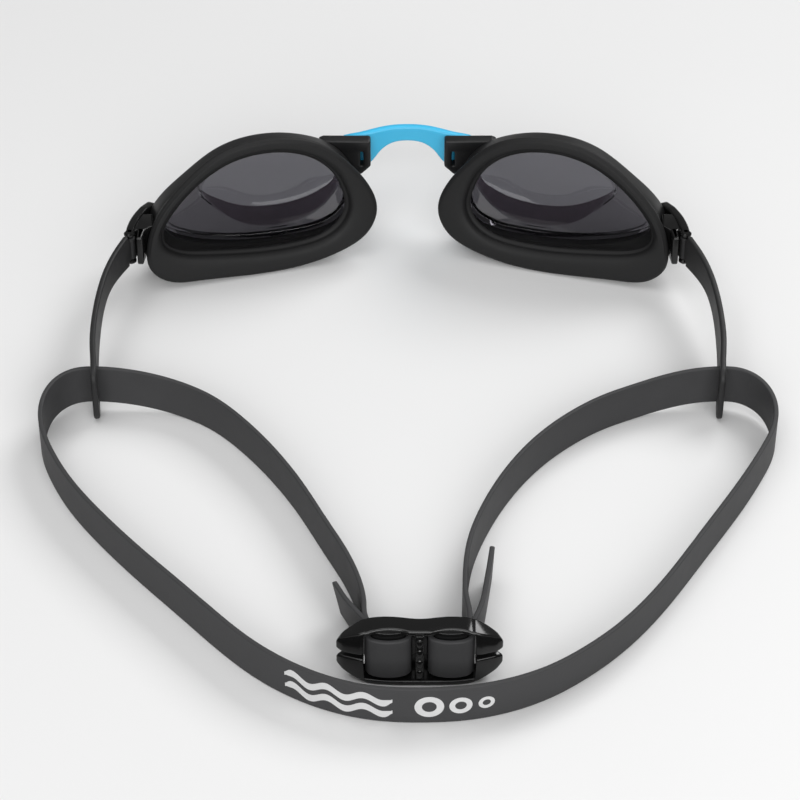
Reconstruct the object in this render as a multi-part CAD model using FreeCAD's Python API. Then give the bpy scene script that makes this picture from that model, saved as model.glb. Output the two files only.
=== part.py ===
"""Swim goggles: two framed eyecups, a clip-on nose bridge, two side arms, one head strap and its buckle.

Units are millimetres.  +X is the wearer's right, +Y is forward (the way the lenses look) and +Z is up.
The goggles stand on z = 0 as they do on a table, resting on the gasket lips, the arm tips and the
buckle, and the origin is the centre of their footprint.
"""
import FreeCAD, Part
import math
import os

from FreeCAD import Vector

# ---------------------------------------------------------------- eyecups (right one; left is its mirror)
CUP_YAW = 16.0                 # the temple side of each eyecup is swept back, degrees
CUP_PITCH = 10.0               # the top of each eyecup leans forward, degrees
CUP_ANCHOR_X = 45.24           # where the eyecup's own u = v = n = 0 lies
CUP_ANCHOR_Y = 66.98
CUP_ANCHOR_Z = 0.5             # brings the lowest edge of the tilted lip down to z = 0

LIP_ROLL = 0.8                 # depth of the rounded edge of the gasket's face
LIP_ROLL_INSET = 1.1           # how far that edge is drawn in
FLANGE_BACK = 2.3              # depth at which the soft flange turns in to its neck
NECK_DEPTH = 3.8               # depth at which the neck is reached
NECK_INSET = 3.4               # how far the neck sits inside the lip
SEAM_DEPTH = 7.0               # the gasket ends and the hard frame begins
SEAT_INSET = 0.7               # the gasket ends this far inside the frame's outline
MOUTH_FLARE = 1.0              # the inner edge of the lip opens out by this much
MOUTH_DEPTH = 1.2              # depth at which that flare ends
THROAT_INSET = 0.2             # the gasket's bore against the frame's at the seam
OVERRUN = 0.3                  # a cut starts and ends this far outside what it cuts
FRAME_BEVEL_DEPTH = 13.4       # the frame's outer wall ends and its front bevel begins
FRAME_FRONT = 15.0             # front edge of the frame
FRAME_BEVEL = 0.9              # inset of that front edge
LENS_BACK = 9.8                # rear edge of the lens rim
LENS_EDGE_FRONT = 15.6         # front edge of the lens rim
LENS_FACE = 18.6               # plane of the flat optical zone
LENS_THICK = 1.9               # wall of the moulded lens
LENS_ZONE = 0.74               # size of the flat optical zone against the lens rim
LENS_ZONE_HOLLOW = 0.70        # the same on the hollow side
LENS_GAP = 0.08                # seat clearance round the lens
LENS_RIM_WALL = 1.2            # the hollow's straight wall ends this far behind the lens edge

# Outlines in eyecup coordinates: u outward to the temple, v up the cup.  The points of all four
# outlines match one to one, from the nose corner, down and round by the temple and back over the top.
LIP = [(-33, 27.5), (-38, 20), (-39.5, 13.5), (-36.5, 7), (-29.5, 3), (-19, 0.5), (-4, 0), (11, 0.8),
       (19.5, 2.2), (24.2, 6.5), (24.5, 12.5), (21, 21), (13, 29.5), (2, 36.5), (-12, 38.3), (-25, 34.8)]
OPENING = [(-29.5, 25), (-31.5, 20), (-32, 15.5), (-30, 11.3), (-25.5, 8.3), (-18, 6.8), (-6, 6.9),
           (8, 8.4), (15.5, 10), (19.2, 12.4), (19.6, 15.6), (17, 20.5), (10.5, 27), (0, 33),
           (-11, 34.5), (-22.5, 31.5)]
FRAME = [(-33, 27), (-36, 21), (-37, 14.5), (-34.5, 8.5), (-28, 4.3), (-19, 3.3), (-6, 3.5), (8, 5.5),
         (16, 8.5), (20.3, 12), (21.2, 15.8), (18, 21.4), (10.8, 27.2), (0.4, 33.2), (-11.6, 35.2),
         (-24, 32.8)]
APERTURE = [(-30.2, 25.5), (-33.2, 20.5), (-34.3, 14.8), (-32.2, 10), (-27, 6.9), (-19, 5.9), (-7, 6.2),
            (6, 8.3), (13.5, 11), (17.5, 14.2), (18, 17), (15.2, 21.3), (8.6, 26.2), (-0.8, 31.4),
            (-12, 33), (-22.6, 30.4)]

# ---------------------------------------------------------------- nose bridge and its sockets
SOCKET_X = (10.0, 21.0)        # the block on each frame that takes the bridge
SOCKET_Y = (88.6, 93.6)
SOCKET_Z = (17.6, 28.2)
SOCKET_CHAMFER = 2.6           # its lower corner, beside the nose
SOCKET_CLEAR = 8.0             # the lens bore also trims the block, this far in front of the frame
PEG_X = 12.4                   # centre of each bridge peg
PEG_Z = 22.6
PEG_WIDTH = 1.5
PEG_HEIGHT = 5.0
PEG_CLEARANCE = 0.15
PEG_REAR_Y = 88.2              # the pegs end just behind the blocks
PEG_FRONT_Y = 96.2             # and start inside the arch
BRIDGE_THICK = 2.2
# stations across half the bridge: x, y, lower edge, upper edge
BRIDGE_HALF = [(0, 98.95, 24.4, 29.0), (4.5, 98.3, 23.8, 28.8), (8, 97.1, 21.3, 28.4),
               (10.5, 96.5, 18.4, 28.1), (13.5, 96.4, 18.2, 27.9), (15.4, 96.4, 22.8, 27.7),
               (17.4, 96.5, 26.0, 27.0)]

# ---------------------------------------------------------------- side clips and arms
HINGE_X = 73.4                 # upright pin that joins each arm to its clip
HINGE_Y = 62.6
PIN_RADIUS = 0.6
PIN_CLEARANCE = 0.06
KNUCKLE_RADIUS = 1.45
KNUCKLE_GAP = 0.3              # round and above the arm's knuckle
EAR_THICK = 1.2                # clip ears above and below the knuckle
CLIP_THICK = 2.2
ARM_THICK = 1.5
CLIP_LOW = 9.0                 # lower and upper end of the hinge
CLIP_HIGH = 18.6
CLIP_REAR_Y = 60.9
CLIP_PLAN = [(68.6, 80.4), (70.9, 75.0), (72.6, 69), (HINGE_X, HINGE_Y)]
CLIP_SIDE = [(CLIP_REAR_Y, CLIP_LOW), (66, 8.8), (72, 9.2), (77, 10.8), (80.5, 12.5), (80.5, 16.4),
             (76, 17.6), (70, 18.3), (65, 18.6), (CLIP_REAR_Y, CLIP_HIGH)]
HEEL_X = (69.6, 72.6)          # the clip's broad rear end, beside the gasket
HEEL_FRONT_Y = 68.0
ARM_PLAN = [(HINGE_X, HINGE_Y), (76.2, 54), (78.1, 46), (79.1, 38), (79.5, 28), (79.1, 18),
            (78.4, 11.9), (77.7, 4)]
ARM_LOWER = [(66, CLIP_LOW), (60, 9.2), (53, 10.2), (46, 10.8), (38, 10.0), (28, 6.8), (18, 2.6), (10, 0.2),
             (7.5, 0)]
ARM_UPPER = [(7.5, 15.4), (18, 16.0), (28, 16.6), (38, 17.3), (46, 18.0), (53, 18.5), (60, CLIP_HIGH),
             (66, CLIP_HIGH)]
ARM_END_Y = 4.6                # rear edge of the arm
ARM_CORNER = 3.0               # size of its two rear corners
LUG = (3.4, 5.0, 5.0)          # frame lug inside each clip: along X, Y and Z
LUG_CENTRE = (69.4, 74.4, 14.2)

# ---------------------------------------------------------------- head strap
STRAP_WIDTH = 10.6
STRAP_THICK = 1.2
STRAP_Z = 2.3                  # lower edge of the band
SLOT_Y = 11.2                  # the strap runs through the arm slots here
SLOT_WIDTH = 3.7
SLOT_HEIGHT = 11.8
SLOT_CORNER = 0.9
SLOT_X = (70.0, 88.0)          # the slot's cut runs well past both faces of the arm
# the outer band in plan, from the left arm slot round the back of the head to the right one
OUTER = [(-72.5, 11.1), (-77.5, 11.3), (-82, 11.0), (-86.2, 8.7), (-89.5, 3), (-89.97, -5.6),
         (-86.1, -18.2), (-80.5, -29.2), (-72.4, -41.1), (-61.9, -54.3), (-51.8, -66.1), (-42.1, -77.4),
         (-32.8, -86.6), (-23.8, -92.9), (-15, -96.9), (-6, -99.0), (3.2, -99.43), (12, -98.8),
         (20.7, -96.7), (29.6, -92.7), (38.6, -86.3), (48.2, -77), (58.1, -64), (68.9, -46.5),
         (80, -27.8), (86.2, -15.8), (89.9, -5.6), (89.5, 3), (86.2, 8.6), (82, 11.0), (77.5, 11.3),
         (72.5, 11.0)]
LEFT_RUN = [(-65, 10.3), (-57, 7.9), (-49.5, 3.2), (-41.5, -5.2), (-33.6, -16.3), (-25.9, -30.0),
            (-18.9, -45.3), (-14.0, -56.4), (-11.2, -66), (-10.1, -74.2), (-9.7, -79)]
RIGHT_RUN = [(65, 9.9), (56, 6.8), (48, 2.5), (40, -3.8), (32.3, -12), (24.4, -23.9),
             (17.6, -38.9), (13.9, -52), (12.8, -63), (12.9, -72), (13.5, -79)]
LEFT_TAIL = [(-10.3, -82.6), (-11.4, -79), (-13.3, -72.6), (-15.7, -65.6)]
RIGHT_TAIL = [(14.9, -82.6), (15.8, -78), (17.4, -68.3), (19.1, -53)]

# ---------------------------------------------------------------- rear buckle
BUCKLE_X = 2.3                 # the buckle sits a little off centre on the strap
POST_SPACING = 7.35            # post centres either side of the buckle's middle
POST_Y = -85.8
POST_HALF_WIDTH = 4.15
POST_HALF_DEPTH = 1.1
WRAP_GAP = 0.15                # strap to post
LEAD_IN = [(3.4, 3.9), (0.8, 2.5)]   # strap in front of a post: outward and forward of its centre
PLATE = 1.35                   # top and bottom plates
BUCKLE_HEIGHT = 15.2
BUCKLE_HALF_LENGTH = 18.4
BUCKLE_FLAT = 12.7             # the top and bottom are level this far from the middle
CENTRE_BAR = 1.0               # half width of the middle bar
WINDOW_END = 13.7              # the strap windows reach this far from the middle
CLAW_SLIT = 0.9                # gap between the upper and lower claws
CLAW_SLIT_Z = 7.6
CLAW_TIP = (5.0, 10.3)         # heights of the claws' tips
BUCKLE_FRONT = [(-18, -84.6), (-12.6, -82.5), (-5.5, -82), (0, -82.7), (5.5, -82), (12.6, -82.5),
                (18, -84.6)]
BUCKLE_REAR = [(18, -85.8), (12, -87.7), (0, -88.6), (-12, -87.7), (-18, -85.8)]
TOP_PLATE_REAR = -87.0
BUCKLE_SIDE = [(-BUCKLE_HALF_LENGTH, CLAW_TIP[0]), (-BUCKLE_FLAT, 0), (BUCKLE_FLAT, 0),
               (BUCKLE_HALF_LENGTH, CLAW_TIP[0]), (BUCKLE_HALF_LENGTH, CLAW_TIP[1]),
               (BUCKLE_FLAT, BUCKLE_HEIGHT), (-BUCKLE_FLAT, BUCKLE_HEIGHT),
               (-BUCKLE_HALF_LENGTH, CLAW_TIP[1])]

ARCH_STEPS = 48                # points along each face of a curved band
WING_STEPS = 12
BLADE_STEPS = 36
STRAP_STEPS = 420
JOINING = 0.5                  # how far fused pieces run into each other
UP = Vector(0, 0, 1)
REACH = 60.0                   # long enough to pass right through any part


def cup_axes():
    """Unit vectors of an eyecup: outward to the temple, up the cup, and back towards the face."""
    yaw = math.radians(CUP_YAW)
    pitch = math.radians(CUP_PITCH)
    outward = Vector(math.cos(yaw), -math.sin(yaw), 0)
    level = Vector(-math.sin(yaw), -math.cos(yaw), 0)
    to_face = level * math.cos(pitch) + UP * math.sin(pitch)
    upward = UP * math.cos(pitch) - level * math.sin(pitch)
    return outward, upward, to_face


def inset(outline, distance):
    """Move each point of a closed outline inward, square to the line between its neighbours."""
    moved = []
    for i, (u, v) in enumerate(outline):
        before = outline[i - 1]
        after = outline[(i + 1) % len(outline)]
        du = after[0] - before[0]
        dv = after[1] - before[1]
        length = math.hypot(du, dv)
        moved.append((u - dv / length * distance, v + du / length * distance))
    return moved


def shrunk(outline, factor):
    """Scale a closed outline about the middle of its points."""
    centre_u = sum(u for u, v in outline) / len(outline)
    centre_v = sum(v for u, v in outline) / len(outline)
    return [(centre_u + (u - centre_u) * factor, centre_v + (v - centre_v) * factor) for u, v in outline]


def closed_wire(points):
    curve = Part.BSplineCurve()
    curve.interpolate(Points=points, PeriodicFlag=True)
    return Part.Wire([curve.toShape()])


def cup_loft(rings):
    """Solid through rings (outline, depth), in eyecup coordinates; depth counts away from the face."""
    outward, upward, to_face = cup_axes()
    anchor = Vector(CUP_ANCHOR_X, CUP_ANCHOR_Y, CUP_ANCHOR_Z)
    wires = []
    for outline, depth in rings:
        wires.append(closed_wire([anchor + outward * u + upward * v - to_face * depth for u, v in outline]))
    return Part.makeLoft(wires, True, True)


def curve_through(points):
    curve = Part.BSplineCurve()
    curve.interpolate([Vector(x, y, 0) for x, y in points])
    return curve


def offset_points(curve, distance, steps):
    """Points beside a plan curve, evenly spaced in its parameter."""
    points = []
    for i in range(steps + 1):
        value = curve.FirstParameter + (curve.LastParameter - curve.FirstParameter) * i / steps
        tangent = curve.tangent(value)[0]
        points.append(curve.value(value) + tangent.cross(UP) * distance)
    return points


def band(plan, thickness, z_low, z_high, steps):
    """Upright band of even thickness that follows a plan curve."""
    curve = curve_through(plan)
    sides = []
    for distance in (thickness / 2, -thickness / 2):
        side = Part.BSplineCurve()
        side.interpolate(offset_points(curve, distance, steps))
        sides.append(side)
    start = Part.makeLine(sides[1].StartPoint, sides[0].StartPoint)
    end = Part.makeLine(sides[0].EndPoint, sides[1].EndPoint)
    wire = Part.Wire(Part.__sortEdges__([start, sides[0].toShape(), end, sides[1].toShape()]))
    face = Part.Face(wire)
    face.translate(UP * z_low)
    return face.extrude(UP * (z_high - z_low))


def slab(points, direction):
    """Flat outline with straight sides, pushed along a direction."""
    return Part.Face(Part.makePolygon(points + points[:1])).extrude(direction)


def block(x, y, z):
    """Box between pairs of limits."""
    corner = Vector(x[0], y[0], z[0])
    return Part.makeBox(x[1] - x[0], y[1] - y[0], z[1] - z[0], corner)


def mirrored(shape):
    return shape.mirror(Vector(0, 0, 0), Vector(1, 0, 0))


def gasket():
    """Soft face seal: a wide lip, a neck behind it and a seat on the frame."""
    neck = inset(LIP, NECK_INSET)
    seat = inset(FRAME, SEAT_INSET)
    outside = cup_loft([(inset(LIP, LIP_ROLL_INSET), 0), (LIP, LIP_ROLL), (LIP, FLANGE_BACK), (neck, NECK_DEPTH),
                        (seat, SEAM_DEPTH)])
    inside = cup_loft([(inset(OPENING, -MOUTH_FLARE), -OVERRUN), (OPENING, MOUTH_DEPTH),
                       (inset(APERTURE, THROAT_INSET), SEAM_DEPTH + OVERRUN)])
    return outside.cut(inside)


def frame():
    """Hard rim that holds the lens, with the bridge socket on its nose side and the clip lug."""
    rim = cup_loft([(FRAME, SEAM_DEPTH), (FRAME, FRAME_BEVEL_DEPTH), (inset(FRAME, FRAME_BEVEL), FRAME_FRONT)])
    socket = block(SOCKET_X, SOCKET_Y, SOCKET_Z)
    nose_edges = [edge for edge in socket.Edges if edge.CenterOfMass.x < SOCKET_X[0] + OVERRUN]
    corner = [edge for edge in nose_edges if edge.CenterOfMass.z < SOCKET_Z[0] + OVERRUN]
    socket = socket.makeChamfer(SOCKET_CHAMFER, corner)
    lug = block(*[(centre - size / 2, centre + size / 2) for centre, size in zip(LUG_CENTRE, LUG)])
    hole = cup_loft([(APERTURE, SEAM_DEPTH - OVERRUN), (APERTURE, FRAME_FRONT + SOCKET_CLEAR)])
    slot = block((PEG_X - PEG_WIDTH / 2 - PEG_CLEARANCE, PEG_X + PEG_WIDTH / 2 + PEG_CLEARANCE),
                 (SOCKET_Y[0] - OVERRUN, SOCKET_Y[1] + OVERRUN),
                 (PEG_Z - PEG_HEIGHT / 2 - PEG_CLEARANCE, PEG_Z + PEG_HEIGHT / 2 + PEG_CLEARANCE))
    return rim.fuse([socket, lug]).cut(hole).cut(slot).removeSplitter()


def lens():
    """Moulded lens: a rim seated in the frame, a bevel, and a flat optical zone in front."""
    rim = inset(APERTURE, LENS_GAP)
    wall = inset(rim, LENS_THICK)
    outside = cup_loft([(rim, LENS_BACK), (rim, LENS_EDGE_FRONT), (shrunk(rim, LENS_ZONE), LENS_FACE)])
    hollow = cup_loft([(wall, LENS_BACK - OVERRUN), (wall, LENS_EDGE_FRONT - LENS_RIM_WALL),
                       (shrunk(rim, LENS_ZONE_HOLLOW), LENS_FACE - LENS_THICK)])
    return outside.cut(hollow)


def bridge():
    """Springy arch in front of both sockets, with a peg through each."""
    stations = [(-x, y, low, high) for x, y, low, high in reversed(BRIDGE_HALF[1:])] + BRIDGE_HALF
    arch = band([(x, y) for x, y, low, high in stations], BRIDGE_THICK, 0, REACH, ARCH_STEPS)
    lower = curve_through([(x, low) for x, y, low, high in stations])
    upper = curve_through([(x, high) for x, y, low, high in stations])
    edges = [lower.toShape(), upper.toShape(), Part.makeLine(lower.StartPoint, upper.StartPoint),
             Part.makeLine(lower.EndPoint, upper.EndPoint)]
    face = Part.Face(Part.Wire(Part.__sortEdges__(edges)))
    face.rotate(Vector(0, 0, 0), Vector(1, 0, 0), 90)
    arch = arch.common(face.extrude(Vector(0, 2 * REACH, 0)))
    pegs = [block((side * PEG_X - PEG_WIDTH / 2, side * PEG_X + PEG_WIDTH / 2), (PEG_REAR_Y, PEG_FRONT_Y),
                  (PEG_Z - PEG_HEIGHT / 2, PEG_Z + PEG_HEIGHT / 2)) for side in (-1, 1)]
    return arch.fuse(pegs).removeSplitter()


def side_prism(points):
    """Outline in the Y-Z plane pushed right across one side of the goggles."""
    return slab([Vector(REACH, y, z) for y, z in points], Vector(REACH, 0, 0))


def side_clip(frame_solid, gasket_solid):
    """Glossy wing on the temple side of the frame, with two ears and the hinge pin."""
    wing = band(CLIP_PLAN, CLIP_THICK, 0, REACH, WING_STEPS).common(side_prism(CLIP_SIDE))
    pin_line = Vector(HINGE_X, HINGE_Y, 0)
    ear = Part.makeCylinder(KNUCKLE_RADIUS, REACH, pin_line).common(side_prism(CLIP_SIDE))
    heel = block(HEEL_X, (CLIP_REAR_Y, HEEL_FRONT_Y), (0, REACH)).common(side_prism(CLIP_SIDE))
    low = CLIP_LOW + EAR_THICK
    high = CLIP_HIGH - EAR_THICK
    pocket = Part.makeCylinder(KNUCKLE_RADIUS + KNUCKLE_GAP, high - low, pin_line + UP * low)
    rear = block((HEEL_X[1], HINGE_X + REACH), (0, HINGE_Y - JOINING), (low, high))
    pin = Part.makeCylinder(PIN_RADIUS, high - low + 2 * JOINING, pin_line + UP * (low - JOINING))
    solid = wing.fuse([ear, heel]).cut(pocket).cut(rear).fuse(pin)
    return solid.cut(frame_solid).cut(gasket_solid).removeSplitter()


def arm():
    """Flexible side arm: a knuckle on the hinge pin, a slim blade and a tall end with the strap slot."""
    tip = [(ARM_END_Y, ARM_CORNER), (ARM_END_Y, ARM_UPPER[0][1] - ARM_CORNER)]
    blade = band(ARM_PLAN, ARM_THICK, 0, REACH, BLADE_STEPS).common(side_prism(tip + ARM_UPPER + ARM_LOWER))
    pin_line = Vector(HINGE_X, HINGE_Y, 0)
    low = CLIP_LOW + EAR_THICK + KNUCKLE_GAP
    high = CLIP_HIGH - EAR_THICK - KNUCKLE_GAP
    below = Part.makeCylinder(KNUCKLE_RADIUS + KNUCKLE_GAP, low, pin_line)
    above = Part.makeCylinder(KNUCKLE_RADIUS + KNUCKLE_GAP, REACH, pin_line + UP * high)
    knuckle = Part.makeCylinder(KNUCKLE_RADIUS, high - low, pin_line + UP * low)
    bore = Part.makeCylinder(PIN_RADIUS + PIN_CLEARANCE, REACH, pin_line)
    slot_z = STRAP_Z + STRAP_WIDTH / 2
    slot = block(SLOT_X, (SLOT_Y - SLOT_WIDTH / 2, SLOT_Y + SLOT_WIDTH / 2),
                 (slot_z - SLOT_HEIGHT / 2, slot_z + SLOT_HEIGHT / 2))
    along = [edge for edge in slot.Edges if edge.Length > SLOT_X[1] - SLOT_X[0] - SLOT_CORNER]
    slot = slot.makeFillet(SLOT_CORNER, along)
    return blade.cut(below).cut(above).fuse(knuckle).cut(bore).cut(slot).removeSplitter()


def wrap(side):
    """Plan points of the strap round one post, from its inner side by the rear to its outer side."""
    half_width = POST_HALF_WIDTH + WRAP_GAP + STRAP_THICK / 2
    radius = POST_HALF_DEPTH + WRAP_GAP + STRAP_THICK / 2
    centre = BUCKLE_X + side * POST_SPACING
    straight = half_width - radius
    points = []
    for degrees in range(-60, 91, 30):
        turn = math.radians(degrees)
        points.append((centre - side * (straight + radius * math.cos(turn)), POST_Y - radius * math.sin(turn)))
    points.append((centre, POST_Y - radius))
    for degrees in range(90, -1, -30):
        turn = math.radians(degrees)
        points.append((centre + side * (straight + radius * math.cos(turn)), POST_Y - radius * math.sin(turn)))
    return points


def lead_in(side):
    """Plan points of the strap in front of one post, on its way to the middle of the buckle."""
    centre = BUCKLE_X + side * POST_SPACING
    return [(centre + side * outward, POST_Y + forward) for outward, forward in LEAD_IN]


def strap_plan():
    """The whole strap from its left end, round the head and back to its right end."""
    left = LEFT_RUN + lead_in(-1) + wrap(-1) + LEFT_TAIL
    right = RIGHT_RUN + lead_in(1) + wrap(1) + RIGHT_TAIL
    return list(reversed(left)) + OUTER + right


def head_strap():
    return band(strap_plan(), STRAP_THICK, STRAP_Z, STRAP_Z + STRAP_WIDTH, STRAP_STEPS)


def buckle():
    """Two plates, two posts, a middle bar and split claws at both ends."""
    outline = [Vector(BUCKLE_X + x, y, 0) for x, y in BUCKLE_FRONT + BUCKLE_REAR]
    body = slab(outline, UP * BUCKLE_HEIGHT)
    side = [Vector(BUCKLE_X + x, -2 * REACH, z) for x, z in BUCKLE_SIDE]
    body = body.common(slab(side, Vector(0, 2 * REACH, 0)))
    inside = (PLATE, BUCKLE_HEIGHT - PLATE)
    y_span = (-2 * REACH, 0)
    for end in (-1, 1):
        limits = sorted((BUCKLE_X + end * CENTRE_BAR, BUCKLE_X + end * WINDOW_END))
        body = body.cut(block(limits, y_span, inside))
        limits = sorted((BUCKLE_X + end * (WINDOW_END - JOINING), BUCKLE_X + end * REACH / 2))
        body = body.cut(block(limits, y_span, (CLAW_SLIT_Z - CLAW_SLIT / 2, CLAW_SLIT_Z + CLAW_SLIT / 2)))
    trim = block((BUCKLE_X - BUCKLE_FLAT, BUCKLE_X + BUCKLE_FLAT), (-2 * REACH, TOP_PLATE_REAR),
                 (inside[1], REACH))
    body = body.cut(trim)
    posts = []
    for end in (-1, 1):
        centre = BUCKLE_X + end * POST_SPACING
        post = block((centre - POST_HALF_WIDTH, centre + POST_HALF_WIDTH),
                     (POST_Y - POST_HALF_DEPTH, POST_Y + POST_HALF_DEPTH), (PLATE / 2, BUCKLE_HEIGHT - PLATE / 2))
        upright = [edge for edge in post.Edges if edge.Length > BUCKLE_HEIGHT / 2]
        posts.append(post.makeFillet(POST_HALF_DEPTH - WRAP_GAP / 2, upright))
    return body.fuse(posts).removeSplitter()


def main():
    os.makedirs("parts", exist_ok=True)
    right = {"gasket": gasket(), "frame": frame(), "lens": lens()}
    right["side_clip"] = side_clip(right["frame"], right["gasket"])
    right["arm"] = arm()
    parts = {"nose_bridge": bridge(), "head_strap": head_strap(), "rear_buckle": buckle()}
    for name, solid in right.items():
        parts["right_" + name] = solid
        parts["left_" + name] = mirrored(solid)
    for name, shape in sorted(parts.items()):
        solids = shape.Solids
        box = shape.optimalBoundingBox()
        print(name, len(solids), shape.isValid(), round(shape.Volume, 1),
              [round(value, 2) for value in (box.XMin, box.XMax, box.YMin, box.YMax, box.ZMin, box.ZMax)])
        solids[0].exportStep("parts/" + name + ".step")


main()
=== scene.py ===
import math

import bmesh
import bpy
import numpy as np
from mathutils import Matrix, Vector
from mathutils.geometry import tessellate_polygon


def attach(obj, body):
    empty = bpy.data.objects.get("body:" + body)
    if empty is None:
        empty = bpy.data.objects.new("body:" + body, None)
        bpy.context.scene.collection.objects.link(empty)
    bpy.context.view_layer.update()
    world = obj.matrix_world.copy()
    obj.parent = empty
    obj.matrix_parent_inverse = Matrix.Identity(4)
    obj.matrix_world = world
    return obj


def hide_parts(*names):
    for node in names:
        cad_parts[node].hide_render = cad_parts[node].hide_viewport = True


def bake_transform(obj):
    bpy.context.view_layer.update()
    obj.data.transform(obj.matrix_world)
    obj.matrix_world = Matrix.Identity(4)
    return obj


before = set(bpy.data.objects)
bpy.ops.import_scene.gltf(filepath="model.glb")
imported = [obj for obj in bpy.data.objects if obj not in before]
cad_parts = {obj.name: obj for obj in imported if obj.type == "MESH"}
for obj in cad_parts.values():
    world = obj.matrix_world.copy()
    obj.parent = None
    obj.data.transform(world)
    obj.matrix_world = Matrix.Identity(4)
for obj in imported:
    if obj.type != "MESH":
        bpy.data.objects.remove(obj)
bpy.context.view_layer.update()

# Swim goggles standing on a table, seen from the wearer's side.  +X is the wearer's right, +Y forward and
# +Z up.  Lengths are in millimetres and are turned into metres when a mesh is made, apart from the lights,
# the floor and the grain of the materials, which are in metres.

MM = 0.001
RIGHT = 1
LEFT = -1
SIDE_NAMES = {RIGHT: "right", LEFT: "left"}
SHARP_ANGLE = math.radians(38)
MERGE_DISTANCE = 1e-7          # in metres
LATHE_STEPS = 24
GRAIN_DEPTH = 0.00005          # in metres
MOTTLE_SIZE = 8                # the mottling is this many times coarser than the grain

# ---------------------------------------------------------------- eyecup shapes (right one)
CUP_YAW = math.radians(16)
CUP_PITCH = math.radians(10)
CUP_ANCHOR = np.array([45.24, 66.98, 0.5])
PER_SPAN = 8                   # mesh points between two points of an outline
RINGS_PER_SPAN = 3             # mesh rings between two rings of a gasket or rim

# Depths, here and below, are measured forward from the plane of the face.
SEAM_DEPTH = 7.0
FRAME_FRONT = 14.5
LENS_BACK = 9.8
LENS_FACE = 18.6

LIP = [(-33, 27.5), (-38, 20), (-39.5, 13.5), (-36.5, 7), (-29.5, 3), (-19, 0.5), (-4, 0), (11, 0.8),
       (19.2, 2.1), (23.6, 6.4), (23.9, 12.5), (20.5, 20.9), (12.7, 29.3), (2, 36.4), (-12, 38.3),
       (-25, 34.8)]
OPENING = [(-29.5, 25), (-31.5, 20), (-32, 15.5), (-30, 10.9), (-25.5, 7.6), (-18, 6.0), (-6, 6.0),
           (8, 7.6), (15.5, 9.4), (19.2, 12.4), (19.6, 15.6), (17, 20.5), (10.5, 27), (0, 33),
           (-11, 34.5), (-22.5, 31.5)]
FRAME = [(-33, 27), (-36, 21), (-37, 14.5), (-34.5, 8.5), (-28, 4.3), (-19, 3.3), (-6, 3.5), (8, 5.5),
         (16, 8.5), (20.3, 12), (20.9, 15.8), (17.8, 21.3), (10.7, 27.0), (0.4, 33.2), (-11.6, 35.2),
         (-24, 32.8)]
APERTURE = [(-30.2, 25.5), (-33.2, 20.5), (-34.3, 14.8), (-32.2, 10), (-27, 6.9), (-19, 5.9), (-7, 6.2),
            (6, 8.3), (13.5, 11), (17.5, 14.2), (18, 17), (15.2, 21.3), (8.6, 26.2), (-0.8, 31.4),
            (-12, 33), (-22.6, 30.4)]
STEP = [(-29, 25.2), (-32, 21.5), (-32.2, 18.6), (-29.4, 14.2), (-25, 10.8), (-18.5, 8.7), (-10, 8.8),
        (-3.4, 11.2), (0.8, 14.6), (4.2, 18.2), (6, 20.8), (5.8, 23), (2.6, 26.4), (-4.2, 29.8),
        (-12.6, 31.4), (-22, 29.4)]
ZONE = [(-28.6, 25), (-31.2, 21.5), (-31.6, 18.2), (-28.6, 15.4), (-24, 13.6), (-18, 12.6), (-10.5, 12.8),
        (-4, 14.4), (0.4, 16.6), (3.6, 18.6), (5.2, 20.4), (5.2, 22.6), (2, 26), (-4.5, 29.4),
        (-12.6, 31), (-21.8, 29)]

# Sections as rings: how far each ring lies inside its outline, and its depth.
GASKET_INNER = [(0.9, 3.3), (0.75, 2.5), (0.1, 2.0), (-0.15, 1.2), (-0.9, 0.35)]
GASKET_OUTER = [(0.75, 0.2), (0.15, 0.75), (0, 1.35), (0.3, 1.95), (1.5, 2.5), (3.0, 3.4), (3.5, 4.4)]
RIM_OUTER = [(0.9, SEAM_DEPTH), (0.35, 7.2), (0, 7.9), (0, 12.6), (0.2, 13.3), (0.7, 14.0),
             (1.5, FRAME_FRONT)]
RIM_INNER = [(-0.25, FRAME_FRONT), (0, 14.1), (0, 8.0), (0, SEAM_DEPTH)]
ZONE_REAR = [(0.3, 16.55), (0, 16.35)]
STEP_REAR = [(0, 11.9), (-0.3, 11.72)]
LENS_EDGE = [(2.1, 11.2), (1.7, 10.9), (1.5, LENS_BACK + 0.1), (1.3, LENS_BACK), (0.2, LENS_BACK),
             (0, LENS_BACK + 0.2), (0, 13.4), (0.25, 13.7)]
STEP_FRONT = [(-1.2, 14.3), (-0.9, 14.5)]
ZONE_FRONT = [(-0.9, 18.1), (-0.3, 18.5)]

# Rings between two outlines: the share of the way from the first to the second, and the depth.
GASKET_THROAT = (0.3, 5.4)
GASKET_FACE = [(0.38, -0.05), (0.72, -0.02)]
LENS_BEVEL_MIDDLE = (0.5, 14.1)
SEAT_INSET = 0.7               # the gasket's seat lies this far inside the frame's outline
SEAT_DEPTH = 5.8
LENS_GAP = 0.1
ZONE_REAR_DEPTH = 16.6
ZONE_SHARES = (0.5, 0.92)      # rings of the flat zone, as shares of the way to its middle
# The bevel and facet places take the darker copies of the lens tint, which are painted shade.
TINT, SHADED_BEVEL, SHADED_FACET = 0, 1, 2   # places of the lens's materials

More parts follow.
